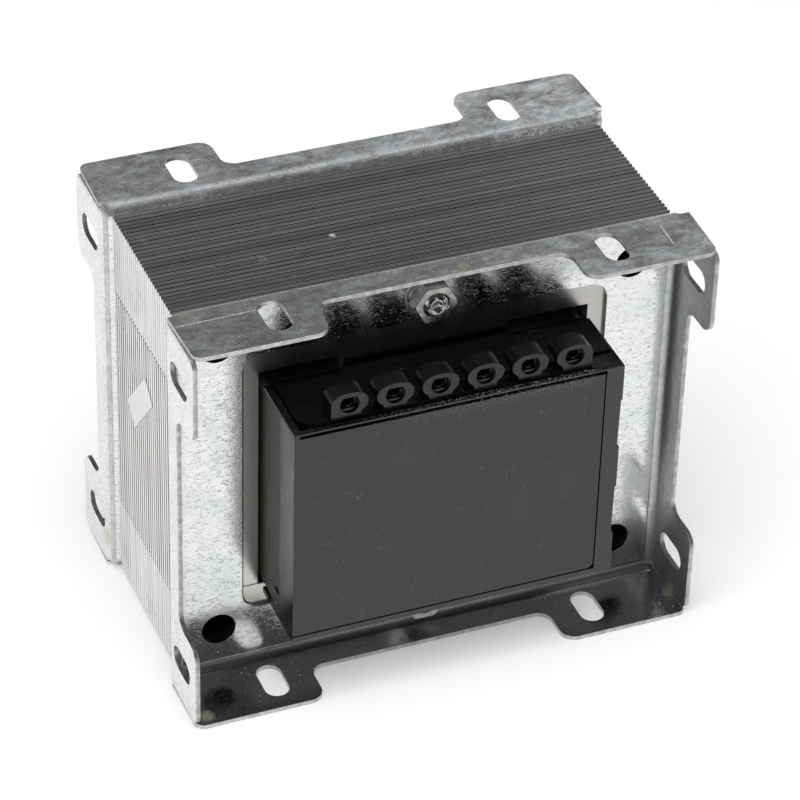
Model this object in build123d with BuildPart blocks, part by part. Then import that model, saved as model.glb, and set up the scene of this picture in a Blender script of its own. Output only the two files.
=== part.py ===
from build123d import *
import os

# Chassis mount transformer with an interleaved sheet core held between two open sheet frames.
# X runs across the core, Y from front to rear and Z up. It stands on the frames' lower flanges,
# with the origin under its middle. All lengths are in millimetres.

# Core sheets
core_width = 108.0
core_height = 90.0
core_depth = 37.3
yoke = 18.0
window_width = 18.0
pack_count = 4
steps_per_pack = 14
pack_gap = 0.04
step_inset = 0.15
joint_gap = 0.06
sheet_hole_radius = 3.75

# Sheet frames
frame_rim = 2.0
frame_sheet = 1.0
bend_radius = 2.0
flange_depth = 18.0
flange_middle_depth = 7.7
flange_end_taper = 0.5
flange_gap = 0.3
flange_corner_radius = 2.0
slot_width = 5.3
slot_length = 10.2
slot_end_distance_x = 20.0
slot_end_distance_z = 11.0
slot_setback = 9.35
tab_inner_width_x = 8.8
tab_inner_width_z = 9.7
tab_radius = 3.2
frame_window_side_rim = 3.8
frame_window_end_rim = 5.4
frame_window_radius = 4.0

# Clamp bolts, nuts and washers
bolt_diameter = 5.0
bolt_hole_clearance = 0.25
bolt_edge_distance = 6.7
bolt_end_reach = 0.3
bolt_end_chamfer = 0.4
head_height = 3.5
hex_across_flats = 8.0
nut_height = 3.2
nut_cone_spread = 3.8
nut_turn = -1.0
washer_diameter = 11.0
washer_thickness = 0.5
washer_bore_clearance = 0.15
lock_washer_diameter = 9.4
lock_washer_thickness = 0.4
lock_washer_split = 0.8
thread_clearance = 0.02

# Bobbin and winding
leg_clearance = 0.3
tube_wall = 1.2
bobbin_flange_thickness = 1.5
bobbin_yoke_gap = 0.3
bobbin_top_room = 3.6
bobbin_flange_radius = 3.0
flange_past_winding = 2.7
primary_build = 5.2
turn_clearance = 0.1
layer_insulation = 0.4
outer_tape = 0.5
winding_end_gap = 0.2
winding_corner_radius = 2.0

# Insulating board folded round the sides and rear of the winding
board_thickness = 1.0
board_clearance = 0.2
board_leg_gap = 1.1
board_corner_radius = 3.0

# Terminal block on top of the winding's front end
block_left_rim = 1.9
block_thickness = 1.5
block_front_rim = 1.5
block_step = 4.0
block_corner_radius = 4.0
block_frame_gap = 0.3
block_side_clearance = 0.15
terminal_count = 6
terminal_pitch = 9.7
terminal_row_shift = 1.0
ring_radius = 3.95
ring_height = 6.1
ring_centre_height = 3.75
ring_neck_width = 4.7
sleeve_length = 4.4
funnel_radius = 2.1
funnel_depth = 0.5
socket_width = 3.7
socket_height = 2.5
socket_depth = 3.9

# Contacts in the sockets and the strips that join them to the windings
contact_clearance = 0.1
contact_wall = 0.3
contact_length = 2.4
contact_setback = 1.4
tail_width = 1.0
tail_thickness = 0.5
tail_reach = 1.4
tail_gap = 0.5
tail_slot_clearance = 0.1
lead_thickness = 0.4
lead_drop = 6.0
lead_end_gap = 0.1

# Shroud round the front end, and the cover that closes it
terminal_room = 2.25
shroud_left_step = 0.5
shroud_right_step = 1.0
shroud_wall = 0.75
shroud_bottom_wall = 1.4
shroud_rim = 0.5
shroud_rim_drop = 0.5
strip_width = 3.9
strip_wall = 1.2
recess_count = 2
recess_drop = 8.7
recess_pitch = 22.2
recess_length = 11.8
recess_upper_depth = 0.3
recess_lower_depth = 0.5
recess_reach = 5.0
shroud_seat_gap = 0.3
cover_thickness = 1.2
cover_side_gap = 0.3
cover_top_drop = 1.25
cover_corner_radius = 1.5
return_depth = 8.0
return_wall = 1.1
foot_length = 4.8
foot_height = 4.6
foot_radius = 2.0

# Blank paper label on the core's left side
label_length = 17.6
label_width = 6.1
label_thickness = 0.12
label_y = 2.6
label_z = 9.3
label_tilt = -49.0

# Heights and depths that follow from the sizes above
frame_width = core_width + 2 * frame_rim
frame_height = core_height + 2 * frame_rim
mid_z = frame_height / 2
corner_hole_x = (core_width - yoke) / 2
corner_hole_z = (core_height - yoke) / 2
leg_width = core_width - 2 * yoke - 2 * window_width
window_height = core_height - 2 * yoke
core_face = core_depth / 2
plate_face = core_face + frame_sheet
bend_outer = bend_radius + frame_sheet
bend_face = core_face + bend_outer
flange_face = core_face + flange_depth
slot_x = frame_width / 2 - slot_end_distance_x
slot_y = core_face + slot_setback
slot_z = frame_height / 2 - slot_end_distance_z
tab_x = slot_x - tab_inner_width_x
tab_z = slot_z - tab_inner_width_z
frame_window_width = leg_width + 2 * window_width + 2 * frame_window_side_rim
frame_window_height = window_height + 2 * frame_window_end_rim
bolt_z = core_height / 2 - bolt_edge_distance
bolt_hole_radius = bolt_diameter / 2 + bolt_hole_clearance
bobbin_bottom = mid_z - window_height / 2 + bobbin_yoke_gap
bobbin_height = window_height - bobbin_yoke_gap - bobbin_top_room
bobbin_top = bobbin_bottom + bobbin_height
tube_inner_x = leg_width / 2 + leg_clearance
tube_inner_y = core_face + leg_clearance
tube_outer_x = tube_inner_x + tube_wall
tube_outer_y = tube_inner_y + tube_wall
board_outer_x = leg_width / 2 + window_width - board_leg_gap
bobbin_flange_x = board_outer_x - board_thickness - board_clearance
winding_room = bobbin_flange_x - tube_outer_x - flange_past_winding
secondary_build = winding_room - primary_build - layer_insulation - outer_tape - 4 * turn_clearance
bobbin_flange_y = core_face + bobbin_flange_x - leg_width / 2
board_outer_y = bobbin_flange_y + board_clearance + board_thickness
shroud_left = board_outer_x + shroud_left_step
shroud_right = board_outer_x + shroud_right_step
shroud_front_y = bobbin_flange_y + terminal_room + cover_thickness
board_front_y = shroud_front_y - return_depth - board_clearance
block_left = shroud_left - block_left_rim
block_front_y = shroud_front_y - block_front_rim
block_step_y = block_front_y - block_step
tail_y = bobbin_flange_y + tail_gap + tail_thickness / 2
block_top = bobbin_top + block_thickness
shelf_z = block_top - shroud_rim
block_rear_y = plate_face + block_frame_gap
block_right = shroud_right - shroud_wall - block_side_clearance
terminal_z = shelf_z + ring_centre_height
first_terminal_x = terminal_row_shift - (terminal_count - 1) / 2 * terminal_pitch
terminal_places = [first_terminal_x + index * terminal_pitch for index in range(terminal_count)]

os.makedirs("parts", exist_ok=True)


# Core: packs of E sheets and I sheets, turned over from one pack to the next. The sheets' edges stand
# out and in by turns, and the holes run straight through each pack.
pack_pitch = core_depth / pack_count
step_thickness = (pack_pitch - pack_gap) / steps_per_pack


def step_plane(pack, step):
    """Rear face of one step of a pack, counted from the front of the core."""
    return Plane.XZ.offset(core_face - pack * pack_pitch - pack_gap / 2 - (step + 1) * step_thickness)


def pack_side(pack):
    """1 where a pack's E sheets have their yoke at the top, -1 where it is at the bottom."""
    return 1 if pack % 2 == 0 else -1


with BuildPart() as e_laminations:
    for pack in range(pack_count):
        side = pack_side(pack)
        for step in range(steps_per_pack):
            inset = step_inset * (step % 2)
            e_height = core_height - yoke - joint_gap / 2 - inset
            e_middle = mid_z + side * (core_height / 2 - inset - e_height / 2)
            with BuildSketch(step_plane(pack, step)):
                with Locations((0, e_middle)):
                    Rectangle(core_width - 2 * inset, e_height)
                with Locations((0, mid_z - side * joint_gap)):
                    with GridLocations(leg_width + window_width, 0, 2, 1):
                        Rectangle(window_width, window_height + 2 * joint_gap, mode=Mode.SUBTRACT)
            extrude(amount=step_thickness)
        with BuildSketch(step_plane(pack, steps_per_pack - 1)):
            with Locations((0, mid_z + side * corner_hole_z)):
                with GridLocations(2 * corner_hole_x, 0, 2, 1):
                    Circle(sheet_hole_radius)
            with Locations((0, mid_z + side * bolt_z)):
                Circle(bolt_hole_radius)
        extrude(amount=steps_per_pack * step_thickness, mode=Mode.SUBTRACT)
e_laminations.part.label = "e_laminations"
export_step(e_laminations.part, "parts/e_laminations.step")

with BuildPart() as i_laminations:
    for pack in range(pack_count):
        side = pack_side(pack)
        for step in range(steps_per_pack):
            inset = step_inset * ((step + 1) % 2)
            i_height = yoke - joint_gap / 2 - inset
            i_middle = mid_z - side * (core_height / 2 - inset - i_height / 2)
            with BuildSketch(step_plane(pack, step)):
                with Locations((0, i_middle)):
                    Rectangle(core_width - 2 * inset, i_height)
            extrude(amount=step_thickness)
        with BuildSketch(step_plane(pack, steps_per_pack - 1)):
            with Locations((0, mid_z - side * corner_hole_z)):
                with GridLocations(2 * corner_hole_x, 0, 2, 1):
                    Circle(sheet_hole_radius)
            with Locations((0, mid_z - side * bolt_z)):
                Circle(bolt_hole_radius)
        extrude(amount=steps_per_pack * step_thickness, mode=Mode.SUBTRACT)
i_laminations.part.label = "i_laminations"
export_step(i_laminations.part, "parts/i_laminations.step")

# Frame: one plate with a window, and a folded flange with two slotted tabs on each side
top_outline = [
    (-frame_width / 2, -bend_face),
    (-frame_width / 2 + flange_end_taper, -flange_face),
    (-tab_x, -flange_face),
    (-tab_x, -core_face - flange_middle_depth),
    (tab_x, -core_face - flange_middle_depth),
    (tab_x, -flange_face),
    (frame_width / 2 - flange_end_taper, -flange_face),
    (frame_width / 2, -bend_face),
]
side_end = frame_height / 2 - frame_sheet - flange_gap
side_outline = [
    (-bend_face, mid_z - side_end),
    (-flange_face, mid_z - side_end),
    (-flange_face, mid_z - tab_z),
    (-core_face - flange_middle_depth, mid_z - tab_z),
    (-core_face - flange_middle_depth, mid_z + tab_z),
    (-flange_face, mid_z + tab_z),
    (-flange_face, mid_z + side_end),
    (-bend_face, mid_z + side_end),
]

with BuildPart() as front_frame:
    with BuildSketch(Plane.XZ.offset(core_face)):
        with Locations((0, mid_z)):
            Rectangle(frame_width - 2 * bend_outer, frame_height - 2 * bend_outer)
    extrude(amount=frame_sheet)

    # Bend and flat of the top flange
    with BuildSketch(Plane.YZ):
        with Locations((-bend_face, frame_height - bend_outer)):
            Circle(bend_outer)
            Circle(bend_radius, mode=Mode.SUBTRACT)
            Rectangle(bend_outer, bend_outer, align=(Align.MIN, Align.MIN), mode=Mode.INTERSECT)
    extrude(amount=frame_width / 2 - bend_outer, both=True)
    with BuildSketch(Plane.XY.offset(frame_height - frame_sheet)) as top_flat:
        with BuildLine():
            Polyline(*top_outline, close=True)
        make_face()
        fillet(
            top_flat.vertices().filter_by(lambda v: abs(v.X) > frame_width / 4 and v.Y < -slot_y),
            radius=flange_corner_radius,
        )
        fillet(top_flat.vertices().filter_by(lambda v: abs(v.X) < frame_width / 4), radius=tab_radius)
        with GridLocations(2 * slot_x, 0, 2, 1):
            with Locations((0, -slot_y)):
                SlotOverall(slot_length, slot_width, rotation=90, mode=Mode.SUBTRACT)
    extrude(amount=frame_sheet)

    # Bend and flat of the left flange
    with BuildSketch(Plane.XY.offset(mid_z)):
        with Locations((-frame_width / 2 + bend_outer, -bend_face)):
            Circle(bend_outer)
            Circle(bend_radius, mode=Mode.SUBTRACT)
            Rectangle(bend_outer, bend_outer, align=(Align.MAX, Align.MIN), mode=Mode.INTERSECT)
    extrude(amount=frame_height / 2 - bend_outer, both=True)
    with BuildSketch(Plane.YZ.offset(-frame_width / 2)) as left_flat:
        with BuildLine():
            Polyline(*side_outline, close=True)
        make_face()
        fillet(
            left_flat.vertices().filter_by(lambda v: abs(v.Y - mid_z) > frame_height / 3 and v.X < -slot_y),
            radius=flange_corner_radius,
        )
        fillet(
            left_flat.vertices().filter_by(lambda v: abs(v.Y - mid_z) < frame_height / 3), radius=tab_radius
        )
        with Locations((-slot_y, mid_z - slot_z), (-slot_y, mid_z + slot_z)):
            SlotOverall(slot_length, slot_width, mode=Mode.SUBTRACT)
    extrude(amount=frame_sheet)

    # Round corner where the top and left bends meet
    with BuildSketch(Plane.YZ.offset(-frame_width / 2 + bend_outer)):
        with Locations((-bend_face, frame_height - bend_outer)):
            Circle(bend_outer)
            Circle(bend_radius, mode=Mode.SUBTRACT)
            Rectangle(bend_outer, bend_outer, align=(Align.MIN, Align.MIN), mode=Mode.INTERSECT)
    corner = (-frame_width / 2 + bend_outer, -bend_face, frame_height - bend_outer)
    revolve(axis=Axis(corner, (0, -1, 0)), revolution_arc=90)

    mirror(about=Plane.YZ)
    mirror(about=Plane.XY.offset(mid_z))

    # Window, corner holes and clamp bolt holes
    with BuildSketch(Plane.XZ.offset(core_face)):
        with Locations((0, mid_z)):
            RectangleRounded(frame_window_width, frame_window_height, frame_window_radius)
            with GridLocations(2 * corner_hole_x, 2 * corner_hole_z, 2, 2):
                Circle(sheet_hole_radius)
            with GridLocations(0, 2 * bolt_z, 1, 2):
                Circle(bolt_hole_radius)
    extrude(amount=frame_sheet, mode=Mode.SUBTRACT)
front_frame.part.label = "front_frame"
export_step(front_frame.part, "parts/front_frame.step")

with BuildPart() as rear_frame:
    add(front_frame.part.rotate(Axis.Z, 180))
rear_frame.part.label = "rear_frame"
export_step(rear_frame.part, "parts/rear_frame.step")

# Clamp hardware: a bolt from the rear, washers at both ends, a lock washer and a nut in front
head_face = plate_face + washer_thickness
nut_seat = plate_face + washer_thickness + lock_washer_thickness
nut_face = nut_seat + nut_height
hex_radius = hex_across_flats / 3**0.5

for name, side in (("upper", 1), ("lower", -1)):
    bolt_middle = mid_z + side * bolt_z

    with BuildPart() as clamp_bolt:
        with BuildSketch(Plane.XZ.offset(-head_face)):
            with Locations((0, bolt_middle)):
                Circle(bolt_diameter / 2)
        extrude(amount=head_face + nut_face + bolt_end_reach)
        chamfer(clamp_bolt.edges().group_by(Axis.Y)[0], length=bolt_end_chamfer)
        with BuildSketch(Plane.XZ.offset(-head_face - head_height)):
            with Locations((0, bolt_middle)):
                RegularPolygon(hex_radius, 6)
        extrude(amount=head_height)
    clamp_bolt.part.label = f"{name}_clamp_bolt"
    export_step(clamp_bolt.part, f"parts/{name}_clamp_bolt.step")

    with BuildPart() as clamp_nut:
        with BuildSketch(Plane.XZ.offset(nut_seat)):
            with Locations((0, bolt_middle)):
                RegularPolygon(hex_radius, 6, rotation=nut_turn)
        extrude(amount=nut_height)
        # A cone takes the corners off the nut's outer face
        with BuildSketch(Plane.XZ.offset(nut_seat)):
            with Locations((0, bolt_middle)):
                Circle(hex_across_flats / 2 + nut_cone_spread)
        with BuildSketch(Plane.XZ.offset(nut_face)):
            with Locations((0, bolt_middle)):
                Circle(hex_across_flats / 2)
        loft(mode=Mode.INTERSECT)
        with BuildSketch(Plane.XZ.offset(nut_seat)):
            with Locations((0, bolt_middle)):
                Circle(bolt_diameter / 2 + thread_clearance)
        extrude(amount=nut_height, mode=Mode.SUBTRACT)
    clamp_nut.part.label = f"{name}_clamp_nut"
    export_step(clamp_nut.part, f"parts/{name}_clamp_nut.step")

    with BuildPart() as lock_washer:
        with BuildSketch(Plane.XZ.offset(plate_face + washer_thickness)):
            with Locations((0, bolt_middle)):
                Circle(lock_washer_diameter / 2)
                Circle(bolt_diameter / 2 + washer_bore_clearance, mode=Mode.SUBTRACT)
                Rectangle(
                    lock_washer_split,
                    lock_washer_diameter,
                    align=(Align.CENTER, Align.MIN),
                    mode=Mode.SUBTRACT,
                )
        extrude(amount=lock_washer_thickness)
    lock_washer.part.label = f"{name}_lock_washer"
    export_step(lock_washer.part, f"parts/{name}_lock_washer.step")

    for end, seat in (("front", plate_face), ("rear", -plate_face - washer_thickness)):
        with BuildPart() as flat_washer:
            with BuildSketch(Plane.XZ.offset(seat)):
                with Locations((0, bolt_middle)):
                    Circle(washer_diameter / 2)
                    Circle(bolt_diameter / 2 + washer_bore_clearance, mode=Mode.SUBTRACT)
            extrude(amount=washer_thickness)
        flat_washer.part.label = f"{name}_{end}_washer"
        export_step(flat_washer.part, f"parts/{name}_{end}_washer.step")

# Bobbin: a square tube round the middle leg with a flange at each end
with BuildPart() as bobbin:
    with BuildSketch(Plane.XY.offset(bobbin_bottom)):
        Rectangle(2 * tube_outer_x, 2 * tube_outer_y)
    extrude(amount=bobbin_height)
    for level in (bobbin_bottom, bobbin_top - bobbin_flange_thickness):
        with BuildSketch(Plane.XY.offset(level)):
            RectangleRounded(2 * bobbin_flange_x, 2 * bobbin_flange_y, bobbin_flange_radius)
        extrude(amount=bobbin_flange_thickness)
    with BuildSketch(Plane.XY.offset(bobbin_bottom)):
        Rectangle(2 * tube_inner_x, 2 * tube_inner_y)
    extrude(amount=bobbin_height, mode=Mode.SUBTRACT)
bobbin.part.label = "bobbin"
export_step(bobbin.part, "parts/bobbin.step")

# Windings and tapes, each a ring round the one inside it
winding_bottom = bobbin_bottom + bobbin_flange_thickness + winding_end_gap
winding_height = bobbin_height - 2 * bobbin_flange_thickness - 2 * winding_end_gap
layers = (
    ("primary_winding", primary_build),
    ("interwinding_insulation", layer_insulation),
    ("secondary_winding", secondary_build),
    ("outer_tape", outer_tape),
)
inner_reach = 0.0
for name, build in layers:
    inner_reach += turn_clearance
    inner_radius = winding_corner_radius + inner_reach
    with BuildPart() as layer:
        with BuildSketch(Plane.XY.offset(winding_bottom)):
            outer_reach = inner_reach + build
            RectangleRounded(
                2 * (tube_outer_x + outer_reach), 2 * (tube_outer_y + outer_reach), inner_radius + build
            )
            inner_x = tube_outer_x + inner_reach
            inner_y = tube_outer_y + inner_reach
            if name == "primary_winding":
                Rectangle(2 * inner_x, 2 * inner_y, mode=Mode.SUBTRACT)
            else:
                RectangleRounded(2 * inner_x, 2 * inner_y, inner_radius, mode=Mode.SUBTRACT)
        extrude(amount=winding_height)
    layer.part.label = name
    export_step(layer.part, f"parts/{name}.step")
    inner_reach = outer_reach
winding_front_y = tube_outer_y + inner_reach

# Insulating board: a U seen from above, open to the front
with BuildPart() as insulating_board:
    with BuildSketch(Plane.XY.offset(bobbin_bottom)) as board_outline:
        with Locations((0, board_outer_y)):
            Rectangle(2 * board_outer_x, board_outer_y + board_front_y, align=(Align.CENTER, Align.MAX))
        fillet(board_outline.vertices().group_by(Axis.Y)[-1], radius=board_corner_radius + board_thickness)
        with Locations((0, board_outer_y - board_thickness)):
            RectangleRounded(
                2 * (board_outer_x - board_thickness),
                2 * board_outer_y + board_front_y,
                board_corner_radius,
                align=(Align.CENTER, Align.MAX),
                mode=Mode.SUBTRACT,
            )
    extrude(amount=bobbin_height)
insulating_board.part.label = "insulating_board"
export_step(insulating_board.part, "parts/insulating_board.step")

# Terminal block: a plate on the bobbin's front end with a row of ringed sockets along its edge
last_ring_side = terminal_places[-1] + ring_radius
ring_back_y = block_front_y - sleeve_length

with BuildPart() as terminal_block:
    with BuildSketch(Plane.XY.offset(bobbin_top)) as block_plan:
        with BuildLine():
            Polyline(
                (-block_left, -block_rear_y),
                (-block_left, -block_front_y),
                (last_ring_side, -block_front_y),
                (last_ring_side, -block_step_y),
                (block_right, -block_step_y),
                (block_right, -block_rear_y),
                close=True,
            )
        make_face()
        fillet(block_plan.vertices().group_by(Axis.Y)[0].sort_by(Axis.X)[0], radius=block_corner_radius)
    extrude(amount=block_thickness)
    for index, place in enumerate(terminal_places):
        neck_left = place - (ring_radius if index == 0 else ring_neck_width / 2)
        neck_right = place + (ring_radius if index == terminal_count - 1 else ring_neck_width / 2)
        with BuildSketch(Plane.XZ.offset(ring_back_y)):
            with Locations((place, terminal_z)):
                Circle(ring_radius)
            with Locations(((neck_left + neck_right) / 2, bobbin_top)):
                Rectangle(neck_right - neck_left, terminal_z - bobbin_top, align=(Align.CENTER, Align.MIN))
            with Locations((place, shelf_z)):
                Rectangle(
                    2 * ring_radius, ring_height, align=(Align.CENTER, Align.MIN), mode=Mode.INTERSECT
                )
        extrude(amount=sleeve_length)
    # Round funnel, square socket behind it and a slot for the contact's tail
    with BuildSketch(Plane.XZ.offset(block_front_y)):
        for place in terminal_places:
            with Locations((place, terminal_z)):
                Circle(funnel_radius)
    extrude(amount=-funnel_depth, mode=Mode.SUBTRACT)
    with BuildSketch(Plane.XZ.offset(block_front_y)):
        for place in terminal_places:
            with Locations((place, terminal_z)):
                Rectangle(socket_width, socket_height)
    extrude(amount=-socket_depth, mode=Mode.SUBTRACT)
    with BuildSketch(Plane.XY.offset(bobbin_top)):
        for place in terminal_places:
            with Locations((place, -tail_y)):
                Rectangle(tail_width + 2 * tail_slot_clearance, tail_thickness + 2 * tail_slot_clearance)
    extrude(amount=terminal_z - bobbin_top, mode=Mode.SUBTRACT)
terminal_block.part.label = "terminal_block"
export_step(terminal_block.part, "parts/terminal_block.step")

# Contacts: a folded box in each socket with a tail down through the block
contact_width = socket_width - 2 * contact_clearance
contact_height = socket_height - 2 * contact_clearance
contact_bottom = terminal_z - contact_height / 2
tail_bottom = bobbin_top - tail_reach

with BuildPart() as terminal_contacts:
    for place in terminal_places:
        with BuildSketch(Plane.XZ.offset(block_front_y - contact_setback)):
            with Locations((place, terminal_z)):
                Rectangle(contact_width, contact_height)
                Rectangle(
                    contact_width - 2 * contact_wall, contact_height - 2 * contact_wall, mode=Mode.SUBTRACT
                )
        extrude(amount=-contact_length)
        with BuildSketch(Plane.XY.offset(tail_bottom)):
            with Locations((place, -tail_y)):
                Rectangle(tail_width, tail_thickness)
        extrude(amount=contact_bottom + contact_wall - tail_bottom)
terminal_contacts.part.label = "terminal_contacts"
export_step(terminal_contacts.part, "parts/terminal_contacts.step")

# Leads: flat strips from the contacts' tails to the winding
lead_outline = [
    (-tail_y - lead_thickness / 2, tail_bottom),
    (-tail_y - lead_thickness / 2, tail_bottom - lead_drop),
    (-winding_front_y - lead_end_gap, tail_bottom - lead_drop),
    (-winding_front_y - lead_end_gap, tail_bottom - lead_drop + lead_thickness),
    (-tail_y + lead_thickness / 2, tail_bottom - lead_drop + lead_thickness),
    (-tail_y + lead_thickness / 2, tail_bottom),
]
with BuildPart() as winding_leads:
    for place in terminal_places:
        with BuildSketch(Plane.YZ.offset(place)):
            with BuildLine():
                Polyline(*lead_outline, close=True)
            make_face()
        extrude(amount=tail_width / 2, both=True)
winding_leads.part.label = "winding_leads"
export_step(winding_leads.part, "parts/winding_leads.step")

# Shroud: right wall, right front strip, bottom wall and a thin rim round the terminal block
shroud_bottom = bobbin_bottom - shroud_seat_gap - shroud_bottom_wall
shroud_rear_y = plate_face + block_frame_gap
rim_bottom = shelf_z - shroud_rim_drop
strip_left = shroud_right - strip_width
board_gap = shroud_right - shroud_wall - board_outer_x

with BuildPart() as terminal_shroud:
    # Right wall and bottom wall
    with BuildSketch(Plane.XZ.offset(shroud_rear_y)):
        with Locations((shroud_right, shroud_bottom)):
            Rectangle(shroud_wall, shelf_z - shroud_bottom, align=(Align.MAX, Align.MIN))
            Rectangle(shroud_right + shroud_left, shroud_bottom_wall, align=(Align.MAX, Align.MIN))
    extrude(amount=shroud_front_y - shroud_rear_y)
    # Front strip at the right
    with BuildSketch(Plane.XZ.offset(shroud_front_y - strip_wall)):
        with Locations((shroud_right, shroud_bottom)):
            Rectangle(strip_width, shelf_z - shroud_bottom, align=(Align.MAX, Align.MIN))
    extrude(amount=strip_wall)
    # Rim beside and before the terminal block, and the shelf in front of its step
    with BuildSketch(Plane.XY.offset(rim_bottom)) as rim_plan:
        with Locations((-shroud_left, -shroud_front_y)):
            Rectangle(
                shroud_left + shroud_right, shroud_front_y - shroud_rear_y, align=(Align.MIN, Align.MIN)
            )
        with BuildLine():
            Polyline(
                (-block_left - board_gap, -shroud_rear_y),
                (-block_left - board_gap, -block_front_y - board_gap),
                (last_ring_side + board_gap, -block_front_y - board_gap),
                (last_ring_side + board_gap, -block_step_y - board_gap),
                (shroud_right - shroud_wall, -block_step_y - board_gap),
                (shroud_right - shroud_wall, -shroud_rear_y),
                close=True,
            )
        make_face(mode=Mode.SUBTRACT)
    extrude(amount=shroud_rim_drop)
    # Shallow recesses in the right wall, which deepen downwards
    with BuildSketch(Plane.XZ.offset(shroud_front_y - recess_reach)):
        for index in range(recess_count):
            recess_top = shelf_z - recess_drop - index * recess_pitch
            with BuildLine():
                Polyline(
                    (shroud_right, recess_top),
                    (shroud_right - recess_upper_depth, recess_top),
                    (shroud_right - recess_lower_depth, recess_top - recess_length),
                    (shroud_right, recess_top - recess_length),
                    close=True,
                )
            make_face()
    extrude(amount=recess_reach, mode=Mode.SUBTRACT)
terminal_shroud.part.label = "terminal_shroud"
export_step(terminal_shroud.part, "parts/terminal_shroud.step")

# Front cover: a flat panel with a return along its left side
cover_top = shelf_z - cover_top_drop
cover_right = strip_left - cover_side_gap
return_rear_y = shroud_front_y - return_depth
foot_wall = shroud_left - board_outer_x - board_clearance / 2

with BuildPart() as front_cover:
    with BuildSketch(Plane.XZ.offset(shroud_front_y - cover_thickness)) as panel:
        with Locations((-shroud_left, bobbin_bottom)):
            Rectangle(shroud_left + cover_right, cover_top - bobbin_bottom, align=(Align.MIN, Align.MIN))
        fillet(panel.vertices().group_by(Axis.Y)[0].sort_by(Axis.X)[-1], radius=cover_corner_radius)
    extrude(amount=cover_thickness)
    with BuildSketch(Plane.XY.offset(bobbin_bottom)):
        with Locations((-shroud_left, -shroud_front_y)):
            Rectangle(return_wall, return_depth, align=(Align.MIN, Align.MIN))
    extrude(amount=rim_bottom - bobbin_bottom)
    # Foot that reaches further back along the board's lower edge
    with BuildSketch(Plane.YZ.offset(-shroud_left)) as foot:
        with Locations((-return_rear_y, bobbin_bottom)):
            Rectangle(2 * foot_length, foot_height, align=(Align.CENTER, Align.MIN))
        fillet(foot.vertices().group_by(Axis.X)[-1].sort_by(Axis.Y)[-1], radius=foot_radius)
    extrude(amount=foot_wall)
front_cover.part.label = "front_cover"
export_step(front_cover.part, "parts/front_cover.step")

# Blank label stuck on the core's left side
with BuildPart() as side_label:
    with BuildSketch(Plane.YZ.offset(-core_width / 2)):
        with Locations(Location((label_y, mid_z + label_z, 0), (0, 0, label_tilt))):
            Rectangle(label_length, label_width)
    extrude(amount=-label_thickness)
side_label.part.label = "side_label"
export_step(side_label.part, "parts/side_label.step")
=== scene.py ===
import math
import random

import bmesh
import bpy
from mathutils import Matrix, Vector
from mathutils.geometry import tessellate_polygon


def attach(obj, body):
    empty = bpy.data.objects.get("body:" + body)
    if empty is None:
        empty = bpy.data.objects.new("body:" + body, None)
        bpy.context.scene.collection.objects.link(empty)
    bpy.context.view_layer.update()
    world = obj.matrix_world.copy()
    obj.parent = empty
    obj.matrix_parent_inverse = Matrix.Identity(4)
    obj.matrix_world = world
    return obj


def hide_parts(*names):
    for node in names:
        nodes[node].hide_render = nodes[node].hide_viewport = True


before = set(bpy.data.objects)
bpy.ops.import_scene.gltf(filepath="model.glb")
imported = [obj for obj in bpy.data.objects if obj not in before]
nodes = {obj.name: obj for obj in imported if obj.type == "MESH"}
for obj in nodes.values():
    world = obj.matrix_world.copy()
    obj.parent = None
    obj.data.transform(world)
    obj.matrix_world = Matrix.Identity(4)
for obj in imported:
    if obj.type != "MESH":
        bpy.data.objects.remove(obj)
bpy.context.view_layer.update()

rng = random.Random(41)

# ---------------------------------------------------------------------------
# Sizes, in millimetres of the shared frame; MM turns them into metres
# ---------------------------------------------------------------------------
MM = 0.001

# Core: fifty-six sheets round two windows, with a bolt hole in each corner and two for the clamp bolts
MID_Z = 47.0
CORE_WIDTH, CORE_HEIGHT, CORE_DEPTH = 108.0, 90.0, 37.3
CORE_TOP = MID_Z + CORE_HEIGHT / 2
YOKE, LEG, WINDOW = 18.0, 36.0, 18.0
SHEETS = 56
SHEET_PITCH = CORE_DEPTH / SHEETS
SHEET_GAP = 0.05
JOINT_GAP = 0.56
JOINT_Z = CORE_HEIGHT / 2 - YOKE
HOLE_X, HOLE_Z, HOLE_RADIUS = 45.0, 36.0, 3.75
BOLT_Z, BOLT_HOLE_RADIUS = 38.3, 2.75

# How far the sheets stand back from the core's outline: (as laid, turned over) at the sides, then at the top
SIDE_INSET = {"e": (0.01, 0.10), "i": (0.08, 0.03)}
END_INSET = {"e": 0.02, "i": 0.08}
INSET_PLAY, SIDE_PLAY, TURNED_THINNER, CORNER_CUT, HOLE_PLAY = 0.04, 0.03, 0.05, 0.3, 0.02

# Frames: folded sheet with a plate, its window and four flanges
FRAME_SHEET, FRAME_TOP, PLATE_FACE = 1.0, 94.0, 19.65
INSIDE_X, INSIDE_Z = 55.0, FRAME_TOP - FRAME_SHEET - MID_Z
WINDOW_WIDTH, WINDOW_HEIGHT, WINDOW_ROUND = 79.6, 64.8, 4.0
WINDOW_X, WINDOW_Z = 0.35, MID_Z - 0.3

# Clamp bolts, nuts and washers
BOLT_RADIUS, THREAD_PITCH, THREAD_DEPTH, THREAD_INSIDE = 2.5, 0.8, 0.42, 4.0
WASHER, LOCK_WASHER, LOCK_RADIUS, LOCK_SPLIT, LOCK_SPRING = 0.5, 0.4, 4.7, 0.09, 0.04
NUT_HEIGHT, HEAD_HEIGHT, HEX_FLATS, NUT_TURN = 3.2, 3.5, 8.0, -1.0
FIT = 0.02
WASHER_SEAT = PLATE_FACE + WASHER
NUT_SEAT = WASHER_SEAT + LOCK_WASHER
BOLT_END = NUT_SEAT + NUT_HEIGHT + 0.3
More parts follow.
